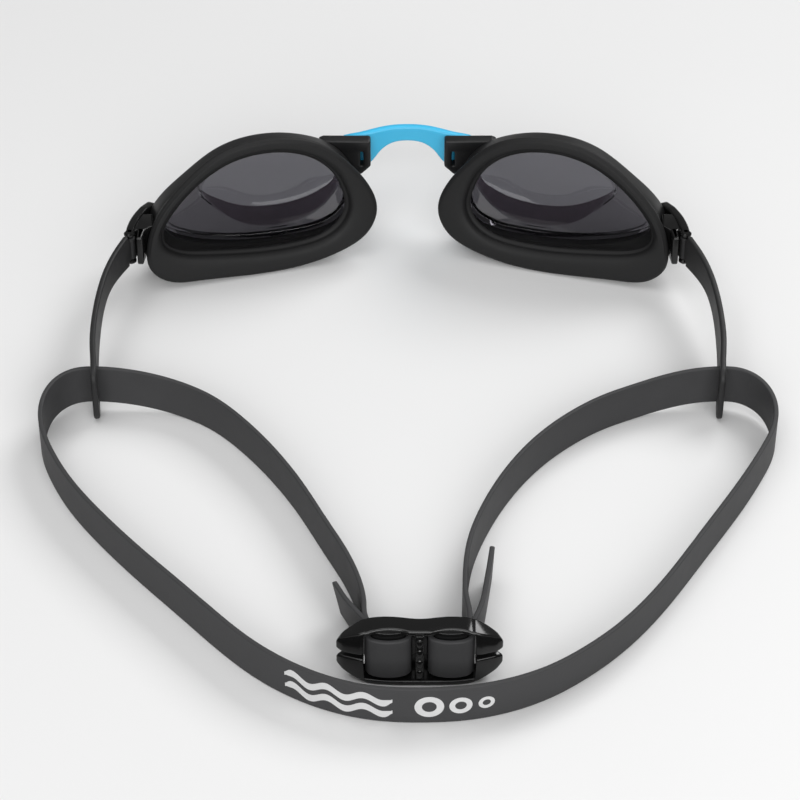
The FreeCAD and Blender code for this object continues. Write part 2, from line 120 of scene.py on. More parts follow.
# ---------------------------------------------------------------- bridge, clips and arms
PLAN_STEPS = 12                # mesh points between two points of a plan curve
SLOPE_REACH = 0.4              # half the distance over which a plan curve's slope is taken
SOCKET_Y = (91.8, 95.1)
SOCKET = [(10.0, 28.2), (10.0, 20.2), (12.6, 17.6), (16.4, 17.8), (19.9, 24.2), (24.2, 27.7), (22.8, 28.3)]
SOCKET_ROUND = [0.7, 0.9, 0.9, 1.0, 2.0, 0.3, 0.6]
SOCKET_EDGE = 0.45
SLOT_GAP = (0.8, 4.4)          # width and height of the slot through each block
SLOT_GAP_ROUND = 0.4
PEG_REAR = 94.9
PEG_FRONT = 96.0
PEG_X = 12.4
PEG_Z = 22.6
PEG_SIZE = (0.6, 4.1)
PEG_EDGE = 0.3
BRIDGE_THICK = 2.2
BRIDGE_EDGE = 0.75
# Half the bridge: X, Y, and the heights of its lower and upper edge.
BRIDGE_HALF = [(0, 98.95, 24.4, 29.0), (4.5, 98.55, 23.8, 28.95), (8, 97.7, 21.3, 28.7),
               (10.5, 97.0, 18.5, 28.4), (13.5, 96.5, 18.3, 27.9), (15.4, 96.4, 22.8, 27.6),
               (17.4, 96.5, 26.0, 27.0)]
HINGE = (73.4, 62.6)
PIN_RADIUS = 0.6
KNUCKLE_RADIUS = 1.45
KNUCKLE_CHAMFER = 0.3
EAR_THICK = 1.2
EAR_CHAMFER = 0.4
EAR_CORE = 0.3                 # the ears' surface starts inside the pin, at this radius
EAR_REACH = 0.4                # the ears' flat part ends this far behind the hinge
JOINT_GAP = 0.3
PIN_CLEARANCE = 0.06
PIN_BITE = 0.3                 # the pin goes this far into each ear
CLIP_THICK = 2.2
CLIP_EDGE = 0.6
CLIP_ROUND = [0.4, 2, 2, 2, 1.6, 1.6, 2, 2, 2, 0.4, 0.4, 0.3, 0.3, 0.4]
CLIP_PLAN = [(68.6, 80.4), (70.9, 75.0), (72.6, 69), (73.4, 62.6), (73.5, 60)]
CLIP_SIDE = [(60.9, 9.0), (66, 8.8), (72, 9.2), (77, 10.8), (80.5, 12.5), (80.5, 16.4), (76, 17.6),
             (70, 18.3), (65, 18.6), (60.9, 18.6)]
HEEL = [(70.0, 61.0), (71.6, 61.0), (71.6, 64.9), (73.0, 64.9), (72.2, 69.5), (71.0, 72.8), (67.8, 72.8),
        (67.4, 66.8), (69.5, 64.8)]
HEEL_ROUND = 0.4
HEEL_BELOW_TOP = 0.9           # the heel stops this far below the clip's top
HEEL_ABOVE_BOTTOM = 0.1
RIDGE_LINE = [(60, 15.4), (66, 15.4), (72, 15.2), (80, 15.0)]
RIDGE_HEIGHT = 0.5
RIDGE_HALF_WIDTH = 3.4
RIDGE_START = 62               # the ridge rises from nothing at this Y, over this length
RIDGE_FADE = 5
ARM_THICK = 1.5
ARM_PLAN = [(73.4, 62.6), (76.2, 54), (78.1, 46), (79.1, 38), (79.5, 28), (79.1, 18), (78.4, 11.9), (77.7, 4)]
ARM_LOWER = [(61.9, 9.0), (53, 10.2), (46, 10.8), (38, 10.0), (28, 6.8), (18, 2.6), (12, 0.6), (8.0, 0)]
ARM_UPPER = [(8.0, 15.4), (18, 16.0), (28, 16.6), (38, 17.3), (46, 18.0), (53, 18.5), (61.9, 18.6)]
ARM_END_Y = 4.6
ARM_CORNER = 3.4
ARM_EDGE = 0.55
TONGUE_Y = 60.4                # in front of this the arm is only the tongue between the ears

# ---------------------------------------------------------------- strap and buckle
STRAP_WIDTH = 10.6
STRAP_THICK = 1.2
STRAP_Z = 2.3
SLOT_X = 78.3
SLOT_Y = 11.2
SLOT_SIZE = (3.7, 11.8)
SLOT_ROUND = 0.9
STRAP_EDGE = 0.42
TABLE_GAP = 0.05               # the band lies this far above the table
OUTER = [(-77.5, 11.3), (-82, 11.0), (-86.2, 8.7), (-89.5, 3), (-89.97, -5.6),
         (-86.1, -18.2), (-80.5, -29.2), (-72.4, -41.1), (-61.9, -54.3), (-51.8, -66.1), (-42.1, -77.4),
         (-32.8, -86.6), (-23.8, -92.9), (-15, -96.9), (-6, -99.0), (3.2, -99.43), (12, -98.8),
         (20.7, -96.7), (29.6, -92.7), (38.6, -86.3), (48.2, -77), (58.1, -64), (68.9, -46.5),
         (80, -27.8), (86.2, -15.8), (89.9, -5.6), (89.5, 3), (86.2, 8.6), (82, 11.0), (77.5, 11.3)]
LEFT_RUN = [(-65, 10.3), (-57, 7.9), (-49.5, 3.2), (-41.5, -5.2), (-33.6, -16.3), (-25.9, -30.0),
            (-18.9, -45.3), (-14.0, -56.4), (-11.2, -66), (-10.1, -74.2), (-9.7, -79)]
RIGHT_RUN = [(65, 9.9), (56, 6.8), (48, 2.5), (40, -3.8), (32.3, -12), (24.4, -23.9),
             (17.6, -38.9), (13.9, -52), (12.8, -63), (12.9, -72), (13.5, -79)]
LEFT_TAIL = [(-9.15, -82.9), (-10.1, -79), (-12.3, -72.4), (-15.0, -65.6)]
RIGHT_TAIL = [(13.75, -82.9), (14.7, -79), (16.6, -69.3), (18.7, -53.6)]
TAIL_LEAN = {LEFT: 2.0, RIGHT: 0.5}   # the free ends lean out by this much at their upper edge
TAIL_LEAN_START = 3            # they start to lean this far in front of the posts, over this length
TAIL_LEAN_REACH = 13
OUTER_LEAN = [(-80, 0), (-60, 0), (-45, -0.15), (-30, 0.2), (-10, 0.75), (8, 0.6), (30, 0.9), (45, 0.8),
              (62, 0.3), (80, 0)]
OUTER_SAG = 34                 # lengths over which the band comes down to the table
SLOT_SAG = 26
BUCKLE_SAG = 30
SIDEWAYS_SHARE = 0.6           # how much of the distance beside a slot counts towards the sag
BUCKLE_X = 2.3
POST_SPACING = 6.9
POST_Y = -85.8
WRAP_HALF = (4.55, 2.05)       # half width and half depth of the strap's line round a post
WRAP_START = -35               # the turn starts this many degrees in front of the post's inner end
WRAP_GAP = 0.15
LEAD_IN = [(3.6, 4.0), (0.9, 2.75)]
TOP_PLATE = 1.5
BOTTOM_PLATE = 1.35
BUCKLE_HEIGHT = 15.2
BUCKLE_HALF_LENGTH = 18.4
BUCKLE_FLAT = 12.2
CLAW_ROUND = 1.6               # rounding of the claws' tips
CLAW_TIP = (3.9, 11.5)
BUCKLE_EDGE = 0.55
TIP_SHARE = 0.35               # the claws' tips keep this share of their height
CLAW_RISE = 0.4                # the plates thicken to the claws over this length
TAPER_START = 10.4
TAPER_POWER = 1.7
POST_HEIGHT = BUCKLE_HEIGHT - 1.6
POST_EDGE = 0.1
BAR_ROUND = 0.5
# The middle bar, and the web that widens its front part: half width, rear and front.
BARS = [(1.0, -88.0, -82.8), (2.3, -84.3, -82.9)]
BUMP_Z = (3.0, 6.1, 9.2, 12.3)
BUMP_Y = -87.95
BUMP_HALF_WIDTH = 0.85
BUMP_HALF_DEPTH = 0.45
BUMP_STRETCH = 1.6             # a bump is taller than it is wide by this factor
CLAW_SLIT = 1.1
CLAW_SLIT_Z = 7.6
BUCKLE_FRONT = [(-18.4, -84.7), (-12.6, -82.5), (-5.5, -82), (0, -82.7), (5.5, -82), (12.6, -82.5),
                (18.4, -84.7)]
BUCKLE_REAR = [(-18.4, -85.7), (-12, -87.7), (0, -88.5), (12, -87.7), (18.4, -85.7)]
TOP_PLATE_REAR = -87.3
SCALLOP = 1.0                  # the top plate is cut back by this much over each wrap
SCALLOP_HALF = 4.6
TRIM_END = 12                  # its cut rear edge goes over into the claw from here, over this length
TRIM_FADE = 3
TOP_FALL = 0.2                 # the top plate falls by this much from its middle to the claws

# ---------------------------------------------------------------- print on the strap
PRINT_THICK = 0.08
PRINT_EDGE = 0.02
PRINT_GAP = 0.02
WAVE_SPAN = (-28.5, -3.5)
WAVE_HEIGHTS = (7.1, 3.6)
WAVE_WIDTH = 2.0
WAVE_SWING = 0.95
WAVE_COUNT = 3
WAVE_TAPER = 1.5               # each end narrows over this length, to half its width
BUBBLES = [(4.4, 3.2), (11.2, 2.5), (16.8, 1.8)]   # place along the band, and radius
BUBBLE_HEIGHT = 5.3
BUBBLE_HOLE = 0.5

# ---------------------------------------------------------------- camera and light
SENSOR = 36.0
FOCAL_LENGTH = 115.515
CAMERA_ELEVATION = math.radians(38)
CAMERA_DISTANCE = 650.0
TARGET = (-2.03, 14.5)         # X and Y on the table
CAMERA_RANGE = 20              # in metres
FLOOR_REACH = 3.0
WORLD_STRENGTH = 0.17
# Soft boxes aimed at the origin: name, place and size in metres, and power in watts.
LIGHTS = [("key", (0.65, 0.75, 0.95), (0.7, 0.7), 9.5),
          ("camera_side", (0.1, -1.3, 0.75), (1.6, 0.8), 18),
          ("overhead", (-0.25, -0.1, 1.1), (1.2, 0.9), 5)]


# ================================================================ curves and meshes
def cubic(points, per_span, closed=False):
    """Points of the smooth cubic curve through some points, so many to each stretch between two."""
    p = np.array(points, float)
    if closed:
        p = np.vstack([p, p[:1]])
    step = np.linalg.norm(np.diff(p, axis=0), axis=1)
    slope = np.diff(p, axis=0) / step[:, None]
    n = len(p)
    matrix = np.eye(n)
    right = np.zeros_like(p)
    for i in range(1, n - 1):
        matrix[i, i - 1:i + 2] = step[i - 1], 2 * (step[i - 1] + step[i]), step[i]
        right[i] = 6 * (slope[i] - slope[i - 1])
    if closed:
        matrix[0, -1] = -1
        matrix[-1] = 0
        matrix[-1, [0, 1, -2]] = 2 * (step[-1] + step[0]), step[0], step[-1]
        right[-1] = 6 * (slope[0] - slope[-1])
    bend = np.linalg.solve(matrix, right)
    curve = []
    for i in range(n - 1):
        for s in np.arange(per_span) / per_span:
            r = 1 - s
            pull = (r ** 3 - r) * bend[i] + (s ** 3 - s) * bend[i + 1]
            curve.append(r * p[i] + s * p[i + 1] + step[i] ** 2 / 6 * pull)
    if not closed:
        curve.append(p[-1])
    return np.array(curve)


def even(points, count, closed=False):
    """The same line with its points evenly spaced."""
    p = np.array(points, float)
    if closed:
        p = np.vstack([p, p[:1]])
    along = np.concatenate([[0], np.cumsum(np.linalg.norm(np.diff(p, axis=0), axis=1))])
    wanted = np.linspace(0, along[-1], count + 1 if closed else count)
    line = np.stack([np.interp(wanted, along, p[:, i]) for i in range(p.shape[1])], 1)
    return line[:-1] if closed else line


def loop_normals(loop):
    """Unit vectors square to a closed plan outline, pointing to the left of its travel."""
    along = np.roll(loop, -1, 0) - np.roll(loop, 1, 0)
    along /= np.linalg.norm(along, axis=1)[:, None]
    return np.stack([-along[:, 1], along[:, 0]], 1)


def area(loop):
    """Area of a closed outline, above zero where it runs anticlockwise."""
    return 0.5 * np.sum(loop[:, 0] * np.roll(loop[:, 1], -1) - np.roll(loop[:, 0], -1) * loop[:, 1])


def inset(loop, distance):
    """A closed outline moved inward by a small distance."""
    sign = 1 if area(loop) > 0 else -1
    return loop + loop_normals(loop) * distance * sign


def mix(a, b, t):
    return a * (1 - t) + b * t


def smooth_step(t):
    t = np.clip(t, 0, 1)
    return t * t * (3 - 2 * t)


def rounded(corners, radius, steps=5):
    """Closed outline with each corner rounded; radius is one number or one per corner."""
    corners = [np.array(c, float) for c in corners]
    radii = radius if isinstance(radius, (list, tuple)) else [radius] * len(corners)
    outline = []
    for i, corner in enumerate(corners):
        to_last = corners[i - 1] - corner
        to_next = corners[(i + 1) % len(corners)] - corner
        to_last /= np.linalg.norm(to_last)
        to_next /= np.linalg.norm(to_next)
        half = math.acos(np.clip(to_last @ to_next, -1, 1)) / 2
        reach = radii[i] / math.tan(half)
        start = corner + to_last * reach
        end = corner + to_next * reach
        for t in np.linspace(0, 1, steps + 1):
            outline.append(start * (1 - t) ** 2 + corner * 2 * t * (1 - t) + end * t * t)
    return np.array(outline)


def rectangle(middle, size, radius, steps=5):
    """Rounded rectangle, from its middle and its two sides."""
    x, y = middle
    w, h = size[0] / 2, size[1] / 2
    return rounded([(x - w, y - h), (x + w, y - h), (x + w, y + h), (x - w, y + h)], radius, steps)


def standing(y):
    """Function that stands a flat plate up, square to Y, with the middle of its thickness at this Y."""
    return lambda p: np.stack([p[:, 0], y + p[:, 2], p[:, 1]], 1)


def lying(z):
    """Function that lays a flat plate level, with the middle of its thickness at this height."""
    return lambda p: p + [0, 0, z]


class Shell:
    """Vertices and faces gathered from one or more closed surfaces."""

    def __init__(self):
        self.points = []
        self.faces = []
        self.slots = []

    def add(self, points, faces):
        base = len(self.points)
        self.points += [tuple(p) for p in points]
        self.faces += [tuple(base + i for i in face) for face in faces]
        self.slots += [0] * len(faces)

    def rings(self, rows, closed=False, slots=None):
        """Surface through rings of points; it is closed on itself or capped at both ends."""
        rows = np.array(rows)
        m, k = rows.shape[:2]
        points = rows.reshape(-1, 3)
        spans = m if closed else m - 1
        for i in range(spans):
            a = i * k
            b = (i + 1) % m * k
            quads = [(a + j, a + (j + 1) % k, b + (j + 1) % k, b + j) for j in range(k)]
            slot = slots[i] if slots else 0
            if i == 0:
                base = len(self.points)
                self.points += [tuple(p) for p in points]
            self.faces += [tuple(base + v for v in quad) for quad in quads]
            self.slots += [slot] * k
        if not closed:
            for row, slot in ((0, slots[0] if slots else 0), (m - 1, slots[-1] if slots else 0)):
                centre = len(self.points)
                self.points.append(tuple(rows[row].mean(0)))
                start = base + row * k
                self.faces += [(start + j, start + (j + 1) % k, centre) for j in range(k)]
                self.slots += [slot] * k

    def plate(self, loops, thickness, edge, place, cuts=(), steps=3):
        """Flat plate with rounded edges: first loop its outline, the rest its holes.  It is cut across
        at the given first coordinates, and place() then moves its points (a, b, offset) into space."""
        flat = bmesh.new()
        levels = []
        for i in range(steps + 1):
            turn = math.pi / 2 * i / steps
            levels.append((edge * (1 - math.sin(turn)), thickness / 2 - edge * (1 - math.cos(turn))))
        levels += [(back, -z) for back, z in reversed(levels)]
        rows = []
        for back, z in levels:
            row = []
            for number, loop in enumerate(loops):
                moved = inset(np.array(loop), back if number == 0 else -back)
                row.append([flat.verts.new((x, y, z)) for x, y in moved])
            rows.append(row)
        for upper, lower in zip(rows[:-1], rows[1:]):
            for ring_a, ring_b in zip(upper, lower):
                for j in range(len(ring_a)):
                    k = (j + 1) % len(ring_a)
                    flat.faces.new((ring_a[j], ring_a[k], ring_b[k], ring_b[j]))
        for row in (rows[0], rows[-1]):
            flat_loops = [[v.co.copy() for v in ring] for ring in row]
            verts = [v for ring in row for v in ring]
            for triangle in tessellate_polygon(flat_loops):
                flat.faces.new([verts[i] for i in triangle])
        for position in cuts:
            everything = flat.verts[:] + flat.edges[:] + flat.faces[:]
            bmesh.ops.bisect_plane(flat, geom=everything, dist=1e-5, plane_co=(position, 0, 0),
                                   plane_no=(1, 0, 0))
        flat.verts.index_update()
        points = np.array([v.co for v in flat.verts])
        faces = [[v.index for v in face.verts] for face in flat.faces]
        flat.free()
        self.add(place(points), faces)

    def lathe(self, centre, profile):
        """Surface turned about an upright axis; the profile is (radius, height) from end to end."""
        turns = np.arange(LATHE_STEPS) * 2 * math.pi / LATHE_STEPS
        rows = []
        for radius, height in profile:
            rows.append([(centre[0] + radius * math.cos(t), centre[1] + radius * math.sin(t), height)
                         for t in turns])
        self.rings(rows)

    def make(self, name, materials, side=RIGHT):
        """Blender object of this shell, mirrored for the left side."""
        points = np.array(self.points) * MM
        points[:, 0] *= side
        mesh = bpy.data.meshes.new(name)
        mesh.from_pydata([tuple(p) for p in points], [], self.faces)
        mesh.polygons.foreach_set("material_index", self.slots)
        for material in materials:
            mesh.materials.append(material)
        tidy = bmesh.new()
        tidy.from_mesh(mesh)
        bmesh.ops.remove_doubles(tidy, verts=tidy.verts, dist=MERGE_DISTANCE)
        bmesh.ops.dissolve_degenerate(tidy, edges=tidy.edges, dist=MERGE_DISTANCE)
        bmesh.ops.recalc_face_normals(tidy, faces=tidy.faces)
        tidy.to_mesh(mesh)
        tidy.free()
        mesh.validate()
        mesh.shade_smooth()
        mesh.set_sharp_from_angle(angle=SHARP_ANGLE)
        thing = bpy.data.objects.new(name, mesh)
        bpy.context.scene.collection.objects.link(thing)
        return thing


# ================================================================ materials
def material(name, colour, rough, noise_scale=900.0, bump=0.0, colour_change=0.12, rough_change=0.08,
             transmission=0.0, ior=1.5, specular=0.5):
    """Moulded plastic or rubber: slight mottling of colour and gloss, and a fine surface grain."""
    mat = bpy.data.materials.new(name)
    mat.use_nodes = True
    tree = mat.node_tree
    shader = tree.nodes["Principled BSDF"]
    shader.inputs["IOR"].default_value = ior
    shader.inputs["Specular IOR Level"].default_value = specular
    shader.inputs["Transmission Weight"].default_value = transmission
    where = tree.nodes.new("ShaderNodeTexCoord")
    mottle = tree.nodes.new("ShaderNodeTexNoise")
    mottle.inputs["Scale"].default_value = noise_scale / MOTTLE_SIZE
    mottle.inputs["Detail"].default_value = 3
    tree.links.new(where.outputs["Object"], mottle.inputs["Vector"])
    paint = tree.nodes.new("ShaderNodeMix")
    paint.data_type = "RGBA"
    paint.inputs["A"].default_value = [c * (1 - colour_change) for c in colour] + [1]
    paint.inputs["B"].default_value = [min(1, c * (1 + colour_change)) for c in colour] + [1]
    tree.links.new(mottle.outputs["Fac"], paint.inputs["Factor"])
    tree.links.new(paint.outputs["Result"], shader.inputs["Base Color"])
    gloss = tree.nodes.new("ShaderNodeMapRange")
    gloss.inputs["To Min"].default_value = max(0.0, rough - rough_change)
    gloss.inputs["To Max"].default_value = rough + rough_change
    tree.links.new(mottle.outputs["Fac"], gloss.inputs["Value"])
    tree.links.new(gloss.outputs["Result"], shader.inputs["Roughness"])
    if bump:
        grain = tree.nodes.new("ShaderNodeTexNoise")
        grain.inputs["Scale"].default_value = noise_scale
        grain.inputs["Detail"].default_value = 4
        tree.links.new(where.outputs["Object"], grain.inputs["Vector"])
        relief = tree.nodes.new("ShaderNodeBump")
        relief.inputs["Strength"].default_value = bump
        relief.inputs["Distance"].default_value = GRAIN_DEPTH
        tree.links.new(grain.outputs["Fac"], relief.inputs["Height"])
        tree.links.new(relief.outputs["Normal"], shader.inputs["Normal"])
    return mat


GASKET_RUBBER = material("gasket_rubber", (0.0105, 0.0105, 0.0108), 0.6, 1400, 0.5, specular=0.28)
FRAME_PLASTIC = material("frame_plastic", (0.010, 0.010, 0.0105), 0.40, 1100, 0.25, specular=0.35)
GLOSS_PLASTIC = material("gloss_plastic", (0.006, 0.006, 0.006), 0.16, 700, 0.1, rough_change=0.03,
                         specular=0.4)
BUCKLE_PLASTIC = material("buckle_plastic", (0.006, 0.006, 0.006), 0.14, 700, 0.1, rough_change=0.03)
ARM_RUBBER = material("arm_rubber", (0.016, 0.016, 0.0165), 0.55, 1400, 0.5, specular=0.35)
STRAP_RUBBER = material("strap_rubber", (0.043, 0.043, 0.0445), 0.62, 1500, 0.5, specular=0.3)
BRIDGE_BLUE = material("bridge_blue", (0.05, 0.50, 0.80), 0.34, 900, 0.15, colour_change=0.05)
LENS_TINT = material("lens_tint", (0.15, 0.148, 0.165), 0.03, 500, colour_change=0.02, rough_change=0.01,
                     transmission=1.0, ior=1.3)
# Painted shade: the bevel and the edge facets of the one smoke lens get darker copies of its tint, standing
# in for the dark gasket seen through them and reflected in them.
LENS_BEVEL_SHADE = material("lens_bevel_painted_shade", (0.042, 0.036, 0.045), 0.04, 500, colour_change=0.02, rough_change=0.01,
                      transmission=1.0, ior=1.2)
LENS_FACET_SHADE = material("lens_facet_painted_shade", (0.088, 0.085, 0.096), 0.04, 500, colour_change=0.02, rough_change=0.01,
                      transmission=1.0, ior=1.25)
PRINT_WHITE = material("strap_print", (0.62, 0.62, 0.62), 0.5, 1800, 0.3, colour_change=0.06)


# ================================================================ eyecups
def cup_rows(rings):
    """Rings (plan outline, depth from the face) placed in space."""
    outward = np.array([math.cos(CUP_YAW), -math.sin(CUP_YAW), 0])
    level = np.array([-math.sin(CUP_YAW), -math.cos(CUP_YAW), 0])
    up = np.array([0, 0, 1.0])
    to_face = level * math.cos(CUP_PITCH) + up * math.sin(CUP_PITCH)
    upward = up * math.cos(CUP_PITCH) - level * math.sin(CUP_PITCH)
    rows = []
    for loop, depth in rings:
        rows.append(CUP_ANCHOR + loop[:, :1] * outward + loop[:, 1:] * upward - to_face * depth)
    return np.array(rows)


def refine(rows, per_span):
    """More rings between rings, along smooth curves from the first ring to the last."""
    m, k = rows.shape[:2]
    flat = rows.reshape(m, k * 3)
    p = np.vstack([flat[:1], flat, flat[-1:]])
    result = []
    for i in range(1, m):
        a, b, c, d = p[i - 1], p[i], p[i + 1], p[i + 2]
        for s in np.arange(per_span) / per_span:
            result.append(0.5 * (2 * b + (c - a) * s + (2 * a - 5 * b + 4 * c - d) * s ** 2
                                 + (3 * b - a - 3 * c + d) * s ** 3))
    result.append(flat[-1])
    return np.array(result).reshape(-1, k, 3)


def loop(outline):
    return cubic(outline, PER_SPAN, closed=True)


def section(outline, profile):
    """Rings of a section whose profile is (distance inside the outline, depth)."""
    return [(inset(outline, inward), depth) for inward, depth in profile]


def between(first, second, share, depth):
    """Ring that lies a share of the way from one outline to another."""
    return mix(first, second, share), depth


def gasket(side):
    lip = loop(LIP)
    opening = loop(OPENING)
    aperture = loop(APERTURE)
    seat = inset(loop(FRAME), SEAT_INSET)
    rings = [(aperture, SEAM_DEPTH), between(aperture, opening, *GASKET_THROAT)]
    rings += section(opening, GASKET_INNER)
    rings += [between(opening, lip, share, depth) for share, depth in GASKET_FACE]
    rings += section(lip, GASKET_OUTER)
    rings += [(seat, SEAT_DEPTH), (seat, SEAM_DEPTH)]
    shell = Shell()
    shell.rings(refine(cup_rows(rings), RINGS_PER_SPAN), closed=True)
    return shell.make(SIDE_NAMES[side] + "_gasket_seal", [GASKET_RUBBER], side)


def frame_rim(side):
    rings = section(loop(FRAME), RIM_OUTER) + section(loop(APERTURE), RIM_INNER)
    shell = Shell()
    shell.rings(refine(cup_rows(rings), RINGS_PER_SPAN), closed=True)
    slot = rectangle((PEG_X, PEG_Z), SLOT_GAP, SLOT_GAP_ROUND)
    shell.plate([rounded(SOCKET, SOCKET_ROUND), slot], SOCKET_Y[1] - SOCKET_Y[0], SOCKET_EDGE,
                standing(sum(SOCKET_Y) / 2))
    return shell.make(SIDE_NAMES[side] + "_rim", [FRAME_PLASTIC], side)


def lens(side):
    """Lens shell, from the middle of its rear face out to the edge and back to the middle of its front."""
    edge = inset(loop(APERTURE), LENS_GAP)
    step = loop(STEP)
    zone = loop(ZONE)
    centre = zone.mean(0)
    rings = [between(zone, centre, share, ZONE_REAR_DEPTH) for share in reversed(ZONE_SHARES)]
    rings += section(zone, ZONE_REAR)
    rings += [between(zone, step, *LENS_BEVEL_MIDDLE)]
    rings += section(step, STEP_REAR)
    rings += section(edge, LENS_EDGE)
    rings += section(step, STEP_FRONT)
    rings += section(zone, ZONE_FRONT)
    rings += [between(zone, centre, share, LENS_FACE) for share in ZONE_SHARES]
    # the bevel and the edge facets get the darker tints, painted shade in place of the dark gasket seen
    # through them
    slots = [TINT] * 3 + [SHADED_BEVEL] * 2 + [SHADED_FACET] * 11 + [SHADED_BEVEL] + [TINT] * 3
    shell = Shell()
    shell.rings(cup_rows(rings), slots=slots)
    return shell.make(SIDE_NAMES[side] + "_lens_shell", [LENS_TINT, LENS_BEVEL_SHADE, LENS_FACET_SHADE], side)


# ================================================================ bridge, clips and arms
def on_plan(plan, place_along=1):
    """Function that bends a plate whose first coordinate runs along Y (or X) onto a plan curve."""
    line = cubic(plan, PLAN_STEPS)
    order = np.argsort(line[:, place_along])
    line = line[order]
    along = line[:, place_along]
    across = line[:, 1 - place_along]

    def place(p):
        a = p[:, 0]
        b = np.interp(a, along, across)
        ahead = np.interp(a + SLOPE_REACH, along, across)
        behind = np.interp(a - SLOPE_REACH, along, across)
        slope = (ahead - behind) / (2 * SLOPE_REACH)
        length = np.sqrt(1 + slope ** 2)
        b = b + p[:, 2] / length
        a = a - p[:, 2] * slope / length
        pair = (b, a) if place_along == 1 else (a, b)
        return np.stack([pair[0], pair[1], p[:, 1]], 1)
    return place


def bridge():
    half = [np.array(station, float) for station in BRIDGE_HALF]
    stations = np.array([station * np.array([-1, 1, 1, 1]) for station in reversed(half[1:])] + half)
    upper = cubic(stations[:, [0, 3]], 8)
    lower = cubic(stations[:, [0, 2]], 8)
    outline = even(np.vstack([lower, upper[::-1]]), 180, closed=True)
    cuts = np.linspace(stations[0, 0], stations[-1, 0], 46)[1:-1]
    shell = Shell()
    shell.plate([outline], BRIDGE_THICK, BRIDGE_EDGE, on_plan(stations[:, :2], 0), cuts, 4)
    for side in (LEFT, RIGHT):
        peg = rectangle((side * PEG_X, PEG_Z), PEG_SIZE, PEG_EDGE)
        shell.plate([peg], PEG_FRONT - PEG_REAR, PEG_EDGE, standing((PEG_REAR + PEG_FRONT) / 2))
    return shell.make("bridge_arch", [BRIDGE_BLUE])


def knuckle(core, floor, ceiling, chamfer):
    """Profile of a hinge knuckle with chamfered rims, between two heights and out from its core."""
    return [(core, floor), (KNUCKLE_RADIUS - chamfer, floor), (KNUCKLE_RADIUS, floor + chamfer),
            (KNUCKLE_RADIUS, ceiling - chamfer), (KNUCKLE_RADIUS - chamfer, ceiling), (core, ceiling)]


def side_clip(side):
    bottom = CLIP_SIDE[0][1]
    top = CLIP_SIDE[-1][1]
    low = bottom + EAR_THICK
    high = top - EAR_THICK
    notch = HINGE[1] + KNUCKLE_RADIUS + JOINT_GAP
    rear = HINGE[1] - EAR_REACH
    corners = [(rear, bottom)] + CLIP_SIDE[1:-1] + [(rear, top), (rear, high), (notch, high), (notch, low),
                                                    (rear, low)]
    place = on_plan(CLIP_PLAN)
    ridge_y, ridge_z = np.array(RIDGE_LINE).T

    def ridged(p):
        ridge = np.interp(p[:, 0], ridge_y, ridge_z)
        swell = np.clip(1 - np.abs(p[:, 1] - ridge) / RIDGE_HALF_WIDTH, 0, 1) * RIDGE_HEIGHT
        fade = smooth_step((p[:, 0] - RIDGE_START) / RIDGE_FADE)
        lifted = p.copy()
        lifted[:, 2] += np.where(p[:, 2] > 0, swell * fade, 0)
        return place(lifted)

    shell = Shell()
    shell.plate([rounded(corners, CLIP_ROUND, 6)], CLIP_THICK, CLIP_EDGE, ridged,
                np.arange(62.5, 80.4, 0.75), 4)
    for floor in (bottom, high):
        shell.lathe(HINGE, knuckle(EAR_CORE, floor, floor + EAR_THICK, EAR_CHAMFER))
    shell.lathe(HINGE, [(PIN_RADIUS, low - PIN_BITE), (PIN_RADIUS, high + PIN_BITE)])
    heel_low = bottom + HEEL_ABOVE_BOTTOM
    heel_high = top - HEEL_BELOW_TOP
    shell.plate([rounded(HEEL, HEEL_ROUND)], heel_high - heel_low, CLIP_EDGE,
                lying((heel_low + heel_high) / 2))
    return shell.make(SIDE_NAMES[side] + "_clip", [GLOSS_PLASTIC], side)


def arm(side):
    low = CLIP_SIDE[0][1] + EAR_THICK + JOINT_GAP
    high = CLIP_SIDE[-1][1] - EAR_THICK - JOINT_GAP
    lower = cubic(ARM_LOWER, 5)
    upper = cubic(ARM_UPPER, 5)
    lower = lower[lower[:, 0] <= TONGUE_Y]
    upper = upper[upper[:, 0] <= TONGUE_Y]
    end = []
    centre_y = ARM_END_Y + ARM_CORNER
    for first, centre_z in ((-90, ARM_CORNER), (180, ARM_UPPER[0][1] - ARM_CORNER)):
        for t in range(0, 91, 15):
            turn = math.radians(first - t)
            end.append((centre_y + ARM_CORNER * math.cos(turn), centre_z + ARM_CORNER * math.sin(turn)))
    tongue = [(TONGUE_Y, upper[-1, 1]), (TONGUE_Y, high), (HINGE[1], high), (HINGE[1], low),
              (TONGUE_Y, low), (TONGUE_Y, lower[0, 1])]
    outline = even(np.vstack([lower, end, upper, tongue]), 220, closed=True)
    slot = rectangle((SLOT_Y, STRAP_Z + STRAP_WIDTH / 2), SLOT_SIZE, SLOT_ROUND)
    shell = Shell()
    shell.plate([outline, slot], ARM_THICK, ARM_EDGE, on_plan(ARM_PLAN), np.arange(5.5, 62, 1.5), 4)
    shell.lathe(HINGE, knuckle(PIN_RADIUS + PIN_CLEARANCE, low, high, KNUCKLE_CHAMFER))
    return shell.make(SIDE_NAMES[side] + "_side_arm", [ARM_RUBBER], side)


# ================================================================ strap
def wrap(side):
    """Plan points of the strap's turn round one post.  They lie on an ellipse: from in front of the
    post's inner end, round behind the post, to its outer end."""
    centre = BUCKLE_X + side * POST_SPACING
    wide, deep = WRAP_HALF
    inner = [(centre - side * wide * math.cos(t), POST_Y - deep * math.sin(t))
             for t in np.radians([WRAP_START, 0, 30, 60, 90])]
    outer = [(centre + side * wide * math.cos(t), POST_Y - deep * math.sin(t))
             for t in np.radians([60, 30, 0])]
    return inner + outer


def lead_in(side):
    """Plan points of the strap in front of a post, on its way to the middle of the buckle."""
    centre = BUCKLE_X + side * POST_SPACING
    return [(centre + side * outward, POST_Y + forward) for outward, forward in LEAD_IN]


